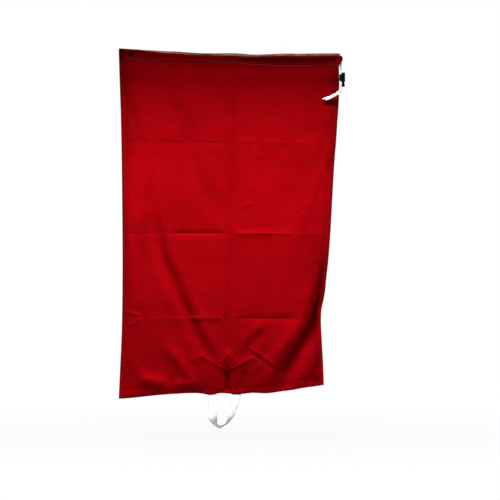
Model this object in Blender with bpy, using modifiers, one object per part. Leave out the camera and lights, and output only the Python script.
"""Large drawstring stuff sack: two fabric panels sewn down both sides and along the
bottom, a hemmed mouth with a drawcord running in it, a spring cord lock on the two
cord tails, and a webbing carry loop sewn into the bottom seam.

Frame: metres, +Z from the bottom seam to the mouth, +X towards the side where the
cord leaves the mouth, -Y the front panel.  The origin is on the flat centre of the
back panel, the face the empty sack rests on.  Left is -X and right is +X.
"""

import math

import bmesh
import bpy
from mathutils import Matrix, Vector

for old in list(bpy.data.objects):
    bpy.data.objects.remove(old, do_unlink=True)

# ----------------------------------------------------------------- outlines of the flat sack
# Side edges: (z, x), from the bottom up.
LEFT_EDGE = [
    (-0.480, -0.3022), (-0.377, -0.2970), (-0.240, -0.2925), (-0.107, -0.2916),
    (0.109, -0.2932), (0.298, -0.2967), (0.433, -0.3010), (0.468, -0.3022),
]
RIGHT_EDGE = [
    (-0.445, 0.2516), (-0.377, 0.2489), (-0.268, 0.2438), (-0.215, 0.2504),
    (-0.160, 0.2576), (-0.053, 0.2678), (0.163, 0.2804), (0.325, 0.2908),
    (0.400, 0.2926), (0.418, 0.2932), (0.432, 0.3014), (0.452, 0.3022),
]
# Lines across the sack: (x, z), from left to right.
BOTTOM_EDGE = [
    (-0.302, -0.4811), (-0.223, -0.4741), (-0.142, -0.4678), (-0.060, -0.4698),
    (0.020, -0.4692), (0.101, -0.4663), (0.166, -0.4576), (0.251, -0.4441),
]
MOUTH_EDGE = [
    (-0.302, 0.4665), (-0.288, 0.4652), (-0.223, 0.4562), (-0.142, 0.4500),
    (-0.060, 0.4458), (0.085, 0.4432), (0.200, 0.4445), (0.301, 0.4452),
]
STITCH_LINE = [
    (-0.302, 0.4370), (-0.200, 0.4318), (-0.110, 0.4282), (0.030, 0.4240),
    (0.160, 0.4172), (0.290, 0.4208),
]
TAPE_TOP = [
    (-0.258, 0.4637), (-0.228, 0.4618), (-0.142, 0.4575), (-0.060, 0.4534),
    (0.085, 0.4507), (0.200, 0.4521), (0.296, 0.4528),
]
TYPICAL_Z = (-0.466, 0.446)   # bottom and mouth heights from which the outline search starts

# ----------------------------------------------------------------- shared dimensions
SEAM_Y = -0.0240         # plane of the side and bottom seams, between the two panels
FABRIC = 0.0008          # panel fabric thickness
SEAM_GAP = 0.0009        # half of the gap the sewn webbing needs between the panels
BODY_DEPTH = 0.0222      # half thickness the body lofts to beyond its seam
MOUTH_DEPTH = 0.0155     # the same at the mouth
BACK_LOFT = 1.09         # the back body's loft relative to the front's
CASING_DEPTH = 0.0076    # casing, outside to outside
CASING_STAND = 0.0019    # the hem's own thickness, added at the mouth
CLEARANCE = 0.0003       # between neighbouring pieces

CORD_R = 0.0023
CORD_TOP_X, CORD_TOP_Z = 0.2978, 0.4338  # where the cords turn down out of the mouth
RUN_TOP_Z = CORD_TOP_Z - CORD_R          # cord centre in the casing at CORD_TOP_X
CASING_CENTRE = SEAM_GAP + FABRIC + CASING_STAND + MOUTH_DEPTH - CASING_DEPTH / 2
# The two cords: name, side of the seam plane (-1 front, +1 back)
SIDES = (("front", -1), ("back", 1))

TAB_WIDTH, TAB_THICK = 0.0222, 0.0012    # webbing of the carry loop
TAB_X = (-0.0489, 0.0157)                # its two legs at the bottom seam
HANDLE_AXIS_Z = -0.4710

LOCK_Y = -0.0341                         # centre of the cord pair in the lock
PAIR_OFFSET = 0.0026                     # half spacing of the pair in the lock
BARREL_X = 0.3044
LOCK_BOTTOM, LOCK_TOP = 0.3740, 0.3995


# ----------------------------------------------------------------- number helpers
def lerp(start, end, share):
    return start + (end - start) * share


def ease(start, end, value):
    """Smooth step from 0 at start to 1 at end."""
    share = max(0.0, min(1.0, (value - start) / (end - start)))
    return share * share * (3 - 2 * share)


def rounded(distance, power):
    """Falls from 1 at distance 0 to 0 at distance 1, later for a higher power."""
    return math.sqrt(max(0.0, 1 - distance**power))


def along(table, place):
    """The value at place on a smooth curve through the table's (place, value) entries."""
    last = len(table) - 1
    if place <= table[0][0]:
        return table[0][1]
    if place >= table[last][0]:
        return table[last][1]
    i = next(k for k in range(last) if place <= table[k + 1][0])
    start, low = table[i]
    end, high = table[i + 1]
    span = end - start
    chord = (high - low) / span

    def slope(k):
        if 0 < k < last:
            return (table[k + 1][1] - table[k - 1][1]) / (table[k + 1][0] - table[k - 1][0])
        return chord

    t = (place - start) / span
    return ((2 * t**3 - 3 * t**2 + 1) * low + (t**3 - 2 * t**2 + t) * span * slope(i)
            + (3 * t**2 - 2 * t**3) * high + (t**3 - t**2) * span * slope(i + 1))


def smooth_path(anchors, steps=3):
    """Points on a Catmull-Rom curve through the anchors."""
    points = [Vector(anchor) for anchor in anchors]
    last = len(points) - 1
    path = []
    for i in range(last):
        before, start = points[max(i - 1, 0)], points[i]
        end, after = points[i + 1], points[min(i + 2, last)]
        for k in range(steps):
            t = k / steps
            path.append(0.5 * ((2 * start) + (end - before) * t
                               + (2 * before - 5 * start + 4 * end - after) * t * t
                               + (3 * start - before - 3 * end + after) * t**3))
    path.append(points[-1])
    return path


# ----------------------------------------------------------------- scene helpers
def collection(name):
    made = bpy.data.collections.new(name)
    bpy.context.scene.collection.children.link(made)
    return made


PARTS = collection("stuff_sack")
CUTTERS = collection("cutters")
GUIDES = collection("joint_points")


def material(name, colour, roughness, metallic=0.0):
    made = bpy.data.materials.new(name)
    made.use_nodes = True
    shader = made.node_tree.nodes["Principled BSDF"]
    shader.inputs["Base Color"].default_value = (*colour, 1.0)
    shader.inputs["Roughness"].default_value = roughness
    shader.inputs["Metallic"].default_value = metallic
    return made


def joint_point(name, place):
    empty = bpy.data.objects.new(name, None)
    empty.location = place
    empty.empty_display_size = 0.02
    GUIDES.objects.link(empty)
    return empty


def add_local(name, data, surface, joint=None):
    """Makes an object of data that is already measured from its joint point."""
    obj = bpy.data.objects.new(name, data)
    data.materials.append(surface)
    obj.parent = joint
    PARTS.objects.link(obj)
    return obj


def add(name, data, surface, joint=None):
    """Puts data, built in the sack's frame, into an object whose origin is its joint point."""
    if joint is not None:
        data.transform(Matrix.Translation(-joint.location))
    return add_local(name, data, surface, joint)


def add_cutter(name, data):
    obj = bpy.data.objects.new(name, data)
    CUTTERS.objects.link(obj)
    obj.hide_render = True
    obj.display_type = "WIRE"
    return obj


def mesh_from(bm, name):
    mesh = bpy.data.meshes.new(name)
    bm.to_mesh(mesh)
    bm.free()
    return mesh


def box_mesh(name, size, centre):
    bm = bmesh.new()
    bmesh.ops.create_cube(bm, size=1.0)
    bmesh.ops.scale(bm, vec=size, verts=bm.verts)
    bmesh.ops.translate(bm, vec=centre, verts=bm.verts)
    return mesh_from(bm, name)


def barrel_mesh(name, radius, bottom, top, segments):
    """Upright cylinder on the axis of the lock's barrel."""
    bm = bmesh.new()
    bmesh.ops.create_cone(bm, cap_ends=True, segments=segments,
                          radius1=radius, radius2=radius, depth=top - bottom)
    bmesh.ops.translate(bm, vec=(BARREL_X, LOCK_Y, (bottom + top) / 2), verts=bm.verts)
    return mesh_from(bm, name)


def bevel(obj, name, width, segments):
    made = obj.modifiers.new(name, "BEVEL")
    made.width = width
    made.segments = segments
    return made


def round_curve(name, path, radius, resolution):
    """Round cord or wire along a polyline, with filled ends."""
    curve = bpy.data.curves.new(name, "CURVE")
    curve.dimensions = "3D"
    curve.bevel_depth = radius
    curve.bevel_resolution = resolution
    curve.use_fill_caps = True
    spline = curve.splines.new("POLY")
    spline.points.add(len(path) - 1)
    for point, place in zip(spline.points, path):
        point.co = (*place, 1.0)
    return curve


# ----------------------------------------------------------------- materials
RED = material("red_nylon", colour=(0.36, 0.004, 0.012), roughness=0.62)
THREAD = material("sewing_thread", colour=(0.42, 0.10, 0.09), roughness=0.75)
SEAM_THREAD = material("seam_thread", colour=(0.30, 0.01, 0.015), roughness=0.75)
TAPE = material("tan_tape", colour=(0.36, 0.25, 0.17), roughness=0.85)
WEBBING = material("cream_webbing", colour=(0.86, 0.83, 0.78), roughness=0.8)
CORD = material("white_cord", colour=(0.88, 0.87, 0.85), roughness=0.7)
PLASTIC = material("black_plastic", colour=(0.012, 0.013, 0.013), roughness=0.42)
BUTTON = material("black_button", colour=(0.016, 0.017, 0.017), roughness=0.38)
STEEL = material("spring_steel", colour=(0.55, 0.55, 0.56), roughness=0.3, metallic=1.0)

# ----------------------------------------------------------------- joint points
PULL = joint_point("drawcord_pull_point", (CORD_TOP_X, SEAM_Y, RUN_TOP_Z))
TAILS = joint_point("cord_tail_swing_point", (CORD_TOP_X, SEAM_Y, CORD_TOP_Z))
LOCK = joint_point("lock_slide_point", (CORD_TOP_X, LOCK_Y, LOCK_BOTTOM))
PRESS = joint_point("button_press_point", (BARREL_X, LOCK_Y, LOCK_BOTTOM))
SWING = joint_point("handle_swing_point", (0.0, SEAM_Y, HANDLE_AXIS_Z))


# ----------------------------------------------------------------- the sack's form
# u runs 0 to 1 from the left edge to the right, v runs 0 to 1 from the bottom to the mouth.
def spot(u, v):
    """Front-view place (x, z) of a point of the sack, between its outlines."""
    z = lerp(*TYPICAL_Z, v)
    x = 0.0
    for _ in range(4):
        x = lerp(along(LEFT_EDGE, z), along(RIGHT_EDGE, z), u)
        z = lerp(along(BOTTOM_EDGE, x), along(MOUTH_EDGE, x), v)
    return x, z


def height_share(x, z):
    """The v of a front-view place."""
    low, high = along(BOTTOM_EDGE, x), along(MOUTH_EDGE, x)
    return (z - low) / (high - low)


def crown(u, v):
    """How far the panel's outer face stands off the seam plane."""
    from_middle = abs(2 * u - 1)
    # the body rounds off towards its side seams, the mouth stays fuller
    across = lerp(rounded(from_middle, 6), rounded(from_middle, 20), ease(0.88, 0.95, v))
    if u > 0.5:      # the casing ends stay open on the side where the cord leaves
        across = lerp(across, 1.0, ease(0.905, 0.955, v))
    depth = lerp(BODY_DEPTH, MOUTH_DEPTH, ease(0.60, 0.93, v))
    depth *= rounded(max(0.0, 1 - v / 0.16), 4)      # closes to the bottom seam
    casing = CASING_STAND * ease(0.90, 0.955, v)
    return SEAM_GAP + FABRIC + casing + depth * across


def casing_thickness(stand_off):
    """Casing, outside to outside, thinner where the panel is close to the seam plane."""
    return min(CASING_DEPTH, stand_off - 0.0012)


# ----------------------------------------------------------------- panels
COLUMNS = 23
# share of the height below the stitch line
BODY_SHARES = [
    0.0, 0.012, 0.035, 0.07, 0.115, 0.17, 0.24, 0.32, 0.41,
    0.50, 0.59, 0.68, 0.77, 0.85, 0.91, 0.955, 1.0,
]
STITCH_ROW = len(BODY_SHARES) - 1
CASING_ROWS, FOLD_ROWS, INNER_ROWS = 3, 4, 3
LAST_ROW = STITCH_ROW + CASING_ROWS + FOLD_ROWS + INNER_ROWS

STITCHED_DEPTH = 0.0022  # casing where its inner layer is stitched down
CASING_TAPER = 0.0045    # height over which the casing closes to its stitches
INNER_END_LIFT = 0.0006  # the inner layer's end above the stitch line
HEM_RIGHT_END = 0.2885   # the casing's inner layer stops here, open, for the cord


def panel_point(u, row):
    """A point (x, stand-off, z) of the panel's outer face: up the body and the casing, over
    the fold and down the inner layer to the stitch line."""
    x_top, _ = spot(u, 0.985)
    stitch = along(STITCH_LINE, x_top)
    if row <= STITCH_ROW:
        x, z = spot(u, BODY_SHARES[row] * height_share(x_top, stitch))
        if row == STITCH_ROW:
            z = along(STITCH_LINE, x)
        return x, crown(u, height_share(x, z)), z

    top = along(MOUTH_EDGE, x_top)
    stand_off = crown(u, 1.0)
    thickness = casing_thickness(stand_off)
    fold_r = thickness / 2
    row -= STITCH_ROW
    if row <= CASING_ROWS:
        z = lerp(stitch, top - fold_r, row / CASING_ROWS)
        x = x_top if row == CASING_ROWS else spot(u, height_share(x_top, z))[0]
        return x, crown(u, height_share(x, z)), z

    x_inner = min(x_top, lerp(x_top, HEM_RIGHT_END, ease(0.93, 1.0, u)))
    row -= CASING_ROWS
    if row <= FOLD_ROWS:
        angle = math.pi * row / FOLD_ROWS
        return (lerp(x_top, x_inner, row / FOLD_ROWS),
                stand_off - fold_r + fold_r * math.cos(angle),
                top - fold_r + fold_r * math.sin(angle))

    row -= FOLD_ROWS
    if row < INNER_ROWS:
        taper_z = stitch + CASING_TAPER
        z = lerp(top - fold_r, taper_z, 0.5) if row == 1 else taper_z
        return x_inner, stand_off - thickness, z
    at_stitch = crown(u, height_share(x_inner, stitch))
    return x_inner, at_stitch - STITCHED_DEPTH, stitch + INNER_END_LIFT


def add_panel(name, side):
    bm = bmesh.new()
    bmesh.ops.create_grid(bm, x_segments=COLUMNS, y_segments=LAST_ROW, size=0.5)
    for vert in bm.verts:
        row = round((vert.co.y + 0.5) * LAST_ROW)
        x, stand_off, z = panel_point(vert.co.x + 0.5, row)
        if side > 0 and row <= STITCH_ROW:
            body_share = 1 - ease(0.80, 0.93, height_share(x, z))
            stand_off = lerp(stand_off, stand_off * BACK_LOFT, body_share)
        y = SEAM_Y + side * stand_off
        if side > 0:         # the ground flattens the back panel
            y = min(y, 0.0)
        vert.co = (x, y, z)
    if side > 0:
        bmesh.ops.reverse_faces(bm, faces=bm.faces[:])
    mesh = mesh_from(bm, name)
    shell = add(name, mesh, RED).modifiers.new("fabric", "SOLIDIFY")
    shell.thickness = FABRIC
    shell.offset = -1.0
    shell.use_even_offset = True
    shell.use_quality_normals = True
    mesh.shade_smooth()


for label, side in SIDES:
    add_panel(f"{label}_panel", side)

# ----------------------------------------------------------------- threads
THREAD_R = 0.00045
SEAM_INSET = 0.0045                      # seam threads in from the sack's edge
SIDE_SEAM_Z = (-0.430, 0.405)
SIDE_SEAM_STEPS = 19
BOTTOM_SEAM_X = (-0.290, 0.240)
STITCH_STAND = 0.00035                   # casing stitches off the fabric, beyond the clearance
STITCH_LIFT = 0.0002                     # casing stitches above the stitch line


def add_thread(name, path, surface):
    add(name, round_curve(name, path, THREAD_R, resolution=1), surface)


def add_side_seam(name, edge, inset):
    heights = [lerp(*SIDE_SEAM_Z, k / SIDE_SEAM_STEPS) for k in range(SIDE_SEAM_STEPS + 1)]
    add_thread(name, [(along(edge, z) + inset, SEAM_Y, z) for z in heights], SEAM_THREAD)


def add_bottom_seam(name, start, end, steps):
    stations = [lerp(start, end, k / steps) for k in range(steps + 1)]
    path = [(x, SEAM_Y, along(BOTTOM_EDGE, x) + SEAM_INSET) for x in stations]
    add_thread(name, path, SEAM_THREAD)


def add_casing_stitch(name, side):
    path = []
    for k in range(1, COLUMNS):
        x, stand_off, z = panel_point(k / COLUMNS, STITCH_ROW)
        y = SEAM_Y + side * (stand_off + CLEARANCE + THREAD_R + STITCH_STAND)
        path.append((x, y, z + STITCH_LIFT))
    add_thread(name, path, THREAD)


add_side_seam("left_seam_thread", LEFT_EDGE, SEAM_INSET)
add_side_seam("right_seam_thread", RIGHT_EDGE, -SEAM_INSET)

# the loop's two legs part the bottom seam's thread into three stretches
LEG_HALF = TAB_WIDTH / 2 + CLEARANCE
add_bottom_seam("bottom_seam_thread_left", BOTTOM_SEAM_X[0], TAB_X[0] - LEG_HALF, steps=8)
add_bottom_seam("bottom_seam_thread_middle", TAB_X[0] + LEG_HALF, TAB_X[1] - LEG_HALF, steps=2)
add_bottom_seam("bottom_seam_thread_right", TAB_X[1] + LEG_HALF, BOTTOM_SEAM_X[1], steps=8)

for label, side in SIDES:
    add_casing_stitch(f"{label}_casing_stitch", side)

# ----------------------------------------------------------------- exit bartack
# the bar of dense stitches that ends the right side seam under the cord's way out
BARTACK_SIZE = (0.0090, 0.0011, 0.0024)
BARTACK_CENTRE = (0.2862, SEAM_Y, 0.4085)

bartack = add("exit_bartack", box_mesh("exit_bartack", BARTACK_SIZE, BARTACK_CENTRE),
              SEAM_THREAD)
bevel(bartack, "soft", width=0.0003, segments=1)

# ----------------------------------------------------------------- mouth tape
TAPE_X = (-0.256, 0.2860)
TAPE_COLUMNS = 22
TAPE_THICK = 0.0009
TAPE_STAND = 0.0002                      # tape off the hem, beyond the clearance
TAPE_BELOW_MOUTH = 0.0085
MOUTH_LEFT_X, MOUTH_WIDTH = -0.302, 0.603


def add_mouth_tape():
    """Woven tape sewn to the back hem, standing a little above the mouth."""
    bm = bmesh.new()
    bmesh.ops.create_grid(bm, x_segments=TAPE_COLUMNS, y_segments=1, size=0.5)
    for vert in bm.verts:
        x = lerp(*TAPE_X, vert.co.x + 0.5)
        stand_off = crown((x - MOUTH_LEFT_X) / MOUTH_WIDTH, 1.0)
        hem_inside = stand_off - casing_thickness(stand_off)
        top, low = along(TAPE_TOP, x), along(MOUTH_EDGE, x) - TAPE_BELOW_MOUTH
        vert.co = (x, SEAM_Y + hem_inside - CLEARANCE - TAPE_STAND,
                   top if vert.co.y > 0 else low)
    tape = add("mouth_tape", mesh_from(bm, "mouth_tape"), TAPE)
    shell = tape.modifiers.new("tape", "SOLIDIFY")
    shell.thickness = TAPE_THICK
    shell.offset = 1.0


add_mouth_tape()

# ----------------------------------------------------------------- carry loop
TAB_BOTTOM, TAB_TOP = HANDLE_AXIS_Z + 0.0006, -0.4535
LOOP_TOP_Z = -0.4724
LOOP_BOTTOM_Z = -0.5588

# The loop's tape leaves the seam flat to the front, turns edge-on down each leg, and lies
# flat in the fold at the bottom, where a hand or a hook bears on it.
# Stations: (x, z, degrees the tape is turned about its path)
LOOP_STATIONS = [
    (TAB_X[0], LOOP_TOP_Z, 0), (TAB_X[0], -0.4950, 8), (-0.0487, -0.5180, 24),
    (-0.0470, -0.5370, 48), (-0.0420, -0.5495, 74), (-0.0345, LOOP_BOTTOM_Z, 90),
    (-0.0245, LOOP_BOTTOM_Z, 90), (-0.0130, -0.5510, 74), (-0.0035, -0.5385, 50),
    (0.0035, -0.5210, 26), (0.0105, -0.4960, 8), (TAB_X[1], LOOP_TOP_Z, 0),
]
CORNERS = ((-1, -1), (1, -1), (1, 1), (-1, 1))   # signs along the tape's width and thickness


def add_tab(name, x):
    """The end of a leg, sewn between the panels."""
    mesh = box_mesh(name, (TAB_WIDTH, TAB_THICK, TAB_TOP - TAB_BOTTOM),
                    (x, SEAM_Y, (TAB_TOP + TAB_BOTTOM) / 2))
    bevel(add(name, mesh, WEBBING), "edge", width=0.0002, segments=1)


def add_handle_loop():
    bm = bmesh.new()
    rings = []
    last = len(LOOP_STATIONS) - 1
    path = [Vector((x, SEAM_Y, z)) for x, z, _ in LOOP_STATIONS]
    for i, (_, z, degrees) in enumerate(LOOP_STATIONS):
        if z == LOOP_BOTTOM_Z:     # the flat seat
            tangent = Vector((1, 0, 0))
        elif i == last:
            tangent = Vector((0, 0, 1))
        else:
            tangent = (path[i + 1] - path[max(i - 1, 0)]).normalized()
        inward = Vector((-tangent.z, 0, tangent.x))        # towards the inside of the loop
        turn = math.radians(degrees)
        # width runs along X at the seam (turn 0) and along Y in the fold (turn 90)
        wide = (inward * math.cos(turn) + Vector((0, -1, 0)) * math.sin(turn)).normalized()
        thin = tangent.cross(wide).normalized()
        rings.append([bm.verts.new(path[i] + wide * (across * TAB_WIDTH / 2)
                                   + thin * (through * TAB_THICK / 2))
                      for across, through in CORNERS])
    for ring, following in zip(rings, rings[1:]):
        for k in range(4):
            after = (k + 1) % 4
            bm.faces.new((ring[k], ring[after], following[after], following[k]))
    bm.faces.new(rings[0][::-1])
    bm.faces.new(rings[-1])
    bmesh.ops.recalc_face_normals(bm, faces=bm.faces[:])
    add("handle_loop", mesh_from(bm, "handle_loop"), WEBBING, SWING)


add_tab("handle_tab_left", TAB_X[0])
add_tab("handle_tab_right", TAB_X[1])
add_handle_loop()

# ----------------------------------------------------------------- drawcord
RUN_STATIONS_X = (-0.2600, 0.0, 0.2950)
RUN_SLOPE = -0.01928                     # the casing's slope along the mouth
# From the mouth down to the lock: (share of the way in Y to the lock, z)
TAIL_DROP = [
    (0.0, CORD_TOP_Z), (0.12, 0.4290), (0.55, 0.4215),
    (0.93, 0.4150), (1.0, 0.4118), (1.0, 0.4100),
]
KNOT = Vector((0.2893, -0.0428, 0.3420))
KNOT_RADII = (0.0062, 0.0056, 0.0060)
END_DIRECTION = Vector((-0.916, 0.0, -0.401))    # the free ends, away from the knot
END_SIDEWAYS = Vector((0.401, 0.0, -0.916))      # square to them
END_START = 0.0092                               # from the knot's centre
END_REACH = {"front": 0.0425, "back": 0.0365}    # from the knot's centre


def add_cord(name, path, joint):
    add(name, round_curve(name, path, CORD_R, resolution=2), CORD, joint)


def add_cord_run(label, side):
    """The cord inside its casing."""
    y = SEAM_Y + side * CASING_CENTRE
    path = [(x, y, RUN_TOP_Z + RUN_SLOPE * (x - CORD_TOP_X)) for x in RUN_STATIONS_X]
    add_cord(f"drawcord_{label}_run", path, PULL)


def add_cord_tail(label, side):
    """The cord from the mouth, straight through the lock, to the knot."""
    casing_y = SEAM_Y + side * CASING_CENTRE
    lock_y = LOCK_Y + side * PAIR_OFFSET
    upper = smooth_path([(CORD_TOP_X, lerp(casing_y, lock_y, share), z)
                         for share, z in TAIL_DROP])
    lower = smooth_path([
        (CORD_TOP_X, lock_y, 0.3660),
        (CORD_TOP_X, lock_y, 0.3590),
        (CORD_TOP_X - 0.0006 + 0.0003 * side, lock_y - 0.0012 + 0.0003 * side, 0.3545),
        (0.2957 + 0.0008 * side, -0.0385 + 0.0032 * side, 0.3507 - 0.0002 * side),
    ])
    add_cord(f"drawcord_{label}_tail", upper + lower, TAILS)


def add_knot():
    bm = bmesh.new()
    bmesh.ops.create_uvsphere(bm, u_segments=14, v_segments=10, radius=1.0)
    bmesh.ops.scale(bm, vec=KNOT_RADII, verts=bm.verts)
    bmesh.ops.translate(bm, vec=KNOT, verts=bm.verts)
    mesh = mesh_from(bm, "cord_knot")
    mesh.shade_smooth()
    add("cord_knot", mesh, CORD, TAILS)


def add_cord_end(label, side):
    """A free end beyond the knot, slightly bowed."""
    start = KNOT + END_DIRECTION * END_START + END_SIDEWAYS * (side * 0.0026)
    finish = (KNOT + END_DIRECTION * END_REACH[label] + END_SIDEWAYS * (side * 0.0030)
              + Vector((0, 0.0006, 0)))
    middle = (start + finish) / 2 + END_SIDEWAYS * 0.0008
    add_cord(f"cord_end_{label}", smooth_path([start, middle, finish]), TAILS)


for label, side in SIDES:
    add_cord_run(label, side)
    add_cord_tail(label, side)
    add_cord_end(label, side)
add_knot()

# ----------------------------------------------------------------- cord lock
BARREL_R, BORE_R = 0.0052, 0.0043
LIP_R = 0.0037                           # the bore's narrower mouth at the bottom
BORE_BOTTOM, BORE_TOP = LOCK_BOTTOM + 0.0015, LOCK_TOP - 0.0028
HOUSING_LEFT_X = 0.2943
HOUSING_HALF_DEPTH = 0.0064
HOUSING_BOTTOM, HOUSING_TOP = LOCK_BOTTOM + 0.0022, LOCK_TOP - 0.0042
SLOT_HALF_WIDTH = CORD_R + CLEARANCE
SLOT_HALF_DEPTH = PAIR_OFFSET + CORD_R + CLEARANCE
SLOT_OVERRUN = 0.01                      # the slot's cutter beyond the barrel's ends
LIP_CUT_HALF = 0.004                     # the lip's cutter above and below the barrel's end

# Heights on the plunger are measured from the barrel's bottom.
PLUNGER_TRAVEL = 0.0050
COLLAR_BOTTOM = BORE_BOTTOM + CLEARANCE - LOCK_BOTTOM
COLLAR_TOP = 0.0120
COLLAR_R = BORE_R - CLEARANCE
STEM_R = LIP_R - CLEARANCE
CAP_R = 0.0044
CAP_TOP = -PLUNGER_TRAVEL - 0.0004
CAP_BOTTOM = -0.0130
# Plunger outline, collar, stem and cap: (radius, height), from the top down
PLUNGER_PROFILE = [
    (0.0, COLLAR_TOP), (0.0036, COLLAR_TOP), (COLLAR_R, COLLAR_TOP - 0.0004),
    (COLLAR_R, COLLAR_BOTTOM + 0.0003), (0.0037, COLLAR_BOTTOM), (STEM_R, COLLAR_BOTTOM),
    (STEM_R, CAP_TOP), (0.0040, CAP_TOP), (CAP_R, CAP_TOP - 0.0004),
    (CAP_R, -0.0112), (0.0038, -0.0125), (0.0025, CAP_BOTTOM), (0.0, CAP_BOTTOM),
]

SPRING_R, SPRING_WIRE_R = 0.0029, 0.00038
SPRING_END_GAP = 0.0008
SPRING_TURNS, STEPS_PER_TURN = 4.5, 12


def limit_to_rims(modifier):
    modifier.limit_method = "ANGLE"
    modifier.angle_limit = math.radians(60)


def box_cutter(name, low, high, round_by):
    low, high = Vector(low), Vector(high)
    obj = add_cutter(name, box_mesh(name, high - low, (low + high) / 2))
    bevel(obj, "round", width=round_by, segments=2)
    return obj


def bore_cutter(name, radius, bottom, top):
    return add_cutter(name, barrel_mesh(name, radius, bottom, top, segments=20))


def combine(obj, other, operation):
    made = obj.modifiers.new(other.name, "BOOLEAN")
    made.operation = operation
    made.object = other
    made.solver = "EXACT"


def add_lock_body():
    """The barrel, a lower housing at its left for the two cords, and their openings."""
    mesh = barrel_mesh("lock_body", BARREL_R, LOCK_BOTTOM, LOCK_TOP, segments=24)
    lock = add("lock_body", mesh, PLASTIC, LOCK)
    limit_to_rims(bevel(lock, "rim", width=0.0009, segments=2))
    housing = box_cutter("cord_housing",
                         (HOUSING_LEFT_X, LOCK_Y - HOUSING_HALF_DEPTH, HOUSING_BOTTOM),
                         (BARREL_X, LOCK_Y + HOUSING_HALF_DEPTH, HOUSING_TOP),
                         round_by=0.0016)
    slot = box_cutter("cord_slot",
                      (CORD_TOP_X - SLOT_HALF_WIDTH, LOCK_Y - SLOT_HALF_DEPTH,
                       LOCK_BOTTOM - SLOT_OVERRUN),
                      (CORD_TOP_X + SLOT_HALF_WIDTH, LOCK_Y + SLOT_HALF_DEPTH,
                       LOCK_TOP + SLOT_OVERRUN),
                      round_by=0.0012)
    bore = bore_cutter("plunger_bore", BORE_R, BORE_BOTTOM, BORE_TOP)
    lip = bore_cutter("plunger_mouth", LIP_R,
                      LOCK_BOTTOM - LIP_CUT_HALF, LOCK_BOTTOM + LIP_CUT_HALF)
    combine(lock, housing, "UNION")
    for opening in (slot, bore, lip):
        combine(lock, opening, "DIFFERENCE")


def add_lock_button():
    """The plunger, turned from its profile: cap, stem and the collar that grips the cords."""
    bm = bmesh.new()
    verts = [bm.verts.new((radius, 0.0, height)) for radius, height in PLUNGER_PROFILE]
    for pair in zip(verts, verts[1:]):
        bm.edges.new(pair)
    button = add_local("lock_button", mesh_from(bm, "lock_button"), BUTTON, PRESS)
    screw = button.modifiers.new("turn", "SCREW")
    screw.steps = screw.render_steps = 20
    screw.use_merge_vertices = True
    screw.merge_threshold = 0.00001
    screw.use_smooth_shade = True


def add_lock_spring():
    """The spring between the plunger and the barrel's closed end."""
    low = LOCK_BOTTOM + COLLAR_TOP + SPRING_END_GAP
    high = BORE_TOP - SPRING_END_GAP
    steps = int(SPRING_TURNS * STEPS_PER_TURN)
    coil = []
    for k in range(steps + 1):
        angle = 2 * math.pi * k / STEPS_PER_TURN
        coil.append((BARREL_X + SPRING_R * math.cos(angle),
                     LOCK_Y + SPRING_R * math.sin(angle),
                     lerp(low, high, k / steps)))
    add("lock_spring", round_curve("lock_spring", coil, SPRING_WIRE_R, resolution=1),
        STEEL, LOCK)


add_lock_body()
add_lock_button()
add_lock_spring()
